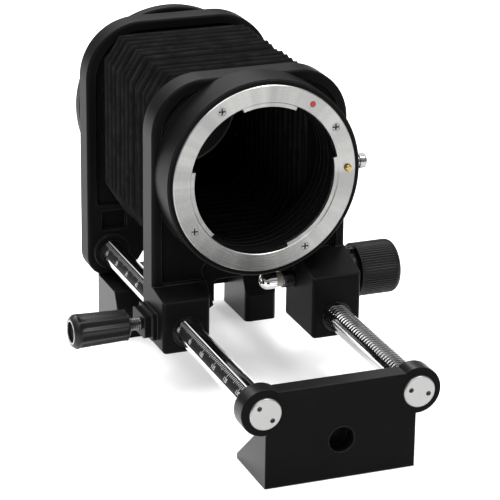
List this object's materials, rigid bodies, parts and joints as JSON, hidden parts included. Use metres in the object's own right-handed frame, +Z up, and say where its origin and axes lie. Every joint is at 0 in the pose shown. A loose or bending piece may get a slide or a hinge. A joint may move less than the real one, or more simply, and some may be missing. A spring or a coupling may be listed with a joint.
{
  "type": "macro bellows extension",
  "caption": "Macro bellows extension: a pleated tube between two standards on a pair of guide rods, with rack focusing, a carriage lock, a lens bayonet in front and a camera bayonet behind.",
  "frame": {"origin": "mouth of the tripod socket, in the flat underside of the front wedge foot", "axes": "+Y from the lens side towards the camera, along the guide rods; +Z up; +X right seen from the lens side"},
  "size_m": [0.1083, 0.1587, 0.1033],
  "materials": {
    "black_metal": "satin black anodised aluminium",
    "polished_rod": "polished plated rod",
    "scale_black": "black printed strip with white marks",
    "bright_steel": "fine turned bright metal",
    "chrome_screw": "polished",
    "cream_washer": "smooth pale",
    "dark_screw": "blackened steel",
    "bellows_cloth": "matt black coated cloth",
    "brass": "machined brass",
    "red_paint": "gloss red",
    "white_paint": "gloss white",
    "black_knob": "satin black, fluted",
    "knob_cap": "dark recess"
  },
  "bodies": {
    "base": {"scale_rod": "polished_rod", "scale_strip": "scale_black", "rack_rod": "polished_rod", "front_end_plate": "black_metal", "rod_end_nuts": "bright_steel", "rear_standard": "black_metal", "rod_set_screws": "dark_screw", "rear_foot": "black_metal", "rear_foot_screws": "dark_screw", "bellows": "bellows_cloth", "bellows_rear_frame": "black_metal", "bellows_rear_screws": "dark_screw"},
    "front_carriage": {"front_standard": "black_metal", "rod_bushes": "dark_screw", "bellows_front_frame": "black_metal", "bellows_front_screws": "dark_screw", "lens_barrel": "black_metal", "lens_bayonet_ring": "bright_steel", "bayonet_screws": "chrome_screw", "index_dot": "red_paint", "pinion_bushes": "brass", "pin_spring": "dark_screw"},
    "focus_drive": {"pinion": "brass", "pinion_end_collar": "bright_steel", "pinion_end_washer": "cream_washer", "pinion_end_screw": "chrome_screw", "focus_knob": "black_metal", "focus_knob_grub": "dark_screw"},
    "carriage_lock": {"lock_knob": "black_knob", "lock_knob_cap": "knob_cap", "lock_screw": "bright_steel"},
    "lock_pin": {"lens_lock_pin": "brass"},
    "release_button": {"lens_release_button": "bright_steel"},
    "camera_mount": {"camera_flange": "black_metal", "mount_retainer": "bright_steel", "retainer_screws": "dark_screw", "camera_bayonet": "bright_steel", "camera_bayonet_screws": "chrome_screw", "camera_index_dot": "white_paint"}
  },
  "joints": [
    {"name": "focus_slide", "type": "slide", "parent": "base", "child": "front_carriage", "axis": [0, -1, 0], "range_m": [-0.028, 0.052], "deforming": ["bellows"]},
    {"name": "focus_knob_turn", "type": "hinge", "parent": "front_carriage", "child": "focus_drive", "pos_m": [0.045, 0.066, 0.0319], "axis": [1, 0, 0], "range_deg": [-357, 663]},
    {"name": "lock_knob_turn", "type": "hinge", "parent": "front_carriage", "child": "carriage_lock", "pos_m": [-0.045, 0.064, 0.0241], "axis": [1, 0, 0], "range_deg": [-360, 150]},
    {"name": "release_press", "type": "slide", "parent": "front_carriage", "child": "release_button", "axis": [-1, 0, 0], "range_m": [0, 0.0015], "stiffness_N_per_m": 300, "springref_m": -0.002},
    {"name": "lock_pin_retract", "type": "slide", "parent": "front_carriage", "child": "lock_pin", "axis": [0, 1, 0], "range_m": [0, 0.0012], "deforming": ["pin_spring"]},
    {"name": "camera_mount_turn", "type": "hinge", "parent": "base", "child": "camera_mount", "pos_m": [0, 0.132, 0.0715], "axis": [0, 1, 0], "range_deg": [-90, 90]}
  ],
  "couplings": [
    {"joint": "focus_knob_turn", "follows": "focus_slide", "rad_per_m": 222.22},
    {"joint": "lock_pin_retract", "follows": "release_press", "ratio": 0.8}
  ]
}
